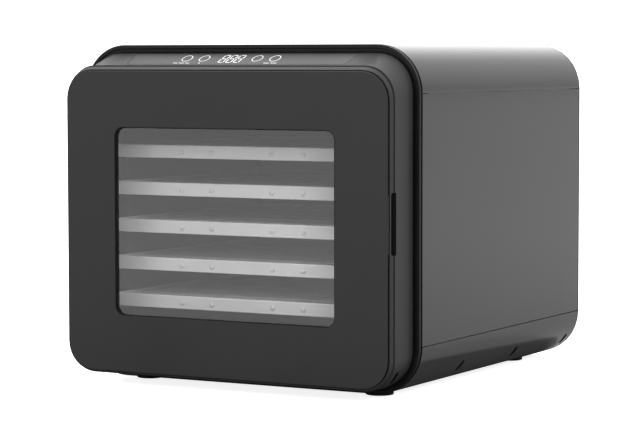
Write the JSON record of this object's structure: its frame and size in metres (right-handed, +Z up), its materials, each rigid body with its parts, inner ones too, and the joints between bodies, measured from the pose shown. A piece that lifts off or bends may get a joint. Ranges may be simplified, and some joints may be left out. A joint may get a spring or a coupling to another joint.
{
  "type": "countertop food dehydrator",
  "caption": "Box-shaped countertop food dehydrator with a side-hinged windowed front door, slide-out mesh trays, sloped touch panel and rear fan heater.",
  "frame": {"origin": "middle of the bounding box at floor level", "axes": "+Z up, -Y out of the front door, +X to the right seen from the front"},
  "size_m": [0.348, 0.4004, 0.311],
  "materials": {
    "housing_coat": "satin charcoal coat",
    "front_plastic": "satin moulded",
    "door_black": "semi-gloss",
    "soft_black": "matt",
    "door_glazing": "lightly tinted",
    "tray_plastic": "translucent off-white moulding",
    "chamber_sheet": "plain sheet",
    "plated_steel": "zinc plated",
    "magnet_nickel": "nickel plated",
    "circuit_board": "green board",
    "moulded_black": "moulded",
    "motor_shell": "plain",
    "fan_metal": "pressed sheet",
    "heater_sheath": "heat tinted",
    "wire_cover": "sleeved"
  },
  "bodies": {
    "base": {"top_cover": "housing_coat", "left_side_panel": "housing_coat", "right_side_panel": "housing_coat", "bottom_cover": "housing_coat", "rear_cover": "housing_coat", "front_bezel": "front_plastic", "control_panel": "door_black", "trim_ring": "soft_black", "foot_front_left": "soft_black", "foot_front_right": "soft_black", "foot_rear_left": "soft_black", "foot_rear_right": "soft_black", "chamber_liner": "chamber_sheet", "rear_baffle": "chamber_sheet", "fan_housing": "chamber_sheet", "seam_strip_upper_left": "plated_steel", "seam_strip_upper_right": "plated_steel", "seam_strip_lower_left": "plated_steel", "seam_strip_lower_right": "plated_steel", "liner_bracket_front": "plated_steel", "liner_bracket_rear": "plated_steel", "heater_bracket": "plated_steel", "motor_bracket": "plated_steel", "temperature_sensor": "plated_steel", "rear_screw_1": "plated_steel", "rear_screw_2": "plated_steel", "rear_screw_3": "plated_steel", "rear_screw_4": "plated_steel", "foot_screw_front_left": "plated_steel", "foot_screw_front_right": "plated_steel", "foot_screw_rear_left": "plated_steel", "foot_screw_rear_right": "plated_steel", "hinge_lug_lower": "plated_steel", "hinge_lug_upper": "plated_steel", "hinge_pin_lower": "plated_steel", "hinge_pin_upper": "plated_steel", "strike_plate_lower": "plated_steel", "strike_plate_upper": "plated_steel", "display_board": "circuit_board", "power_board": "circuit_board", "power_inlet": "moulded_black", "thermal_cutout": "moulded_black", "fan_motor": "motor_shell", "heater_element": "heater_sheath", "wiring_loom": "wire_cover"},
    "door": {"door_plate": "door_black", "door_frame": "front_plastic", "door_glass": "door_glazing", "door_seal": "soft_black", "door_magnet_lower": "magnet_nickel", "door_magnet_upper": "magnet_nickel"},
    "fan": {"fan_impeller": "fan_metal", "motor_shaft": "plated_steel"},
    "tray_1_body": {"tray_1": "tray_plastic"},
    "tray_2_body": {"tray_2": "tray_plastic"},
    "tray_3_body": {"tray_3": "tray_plastic"},
    "tray_4_body": {"tray_4": "tray_plastic"},
    "tray_5_body": {"tray_5": "tray_plastic"}
  },
  "joints": [
    {"name": "door_swing", "type": "hinge", "parent": "base", "child": "door", "pos_m": [-0.1654, -0.1952, 0.152], "axis": [0, 0, -1], "range_deg": [0, 105]},
    {"name": "tray_1_slide", "type": "slide", "parent": "base", "child": "tray_1_body", "axis": [0, -1, 0], "range_m": [0, 0.09163]},
    {"name": "tray_2_slide", "type": "slide", "parent": "base", "child": "tray_2_body", "axis": [0, -1, 0], "range_m": [0, 0.09163]},
    {"name": "tray_3_slide", "type": "slide", "parent": "base", "child": "tray_3_body", "axis": [0, -1, 0], "range_m": [0, 0.09163]},
    {"name": "tray_4_slide", "type": "slide", "parent": "base", "child": "tray_4_body", "axis": [0, -1, 0], "range_m": [0, 0.09163]},
    {"name": "tray_5_slide", "type": "slide", "parent": "base", "child": "tray_5_body", "axis": [0, -1, 0], "range_m": [0, 0.09163]},
    {"name": "fan_spin", "type": "hinge", "parent": "base", "child": "fan", "pos_m": [0, 0.1343, 0.153], "axis": [0, 1, 0], "continuous": true}
  ],
  "couplings": [
    {"joint": "tray_1_slide", "follows": "door_swing", "m_per_rad": 0.05},
    {"joint": "tray_2_slide", "follows": "door_swing", "m_per_rad": 0.05},
    {"joint": "tray_3_slide", "follows": "door_swing", "m_per_rad": 0.05},
    {"joint": "tray_4_slide", "follows": "door_swing", "m_per_rad": 0.05},
    {"joint": "tray_5_slide", "follows": "door_swing", "m_per_rad": 0.05}
  ]
}
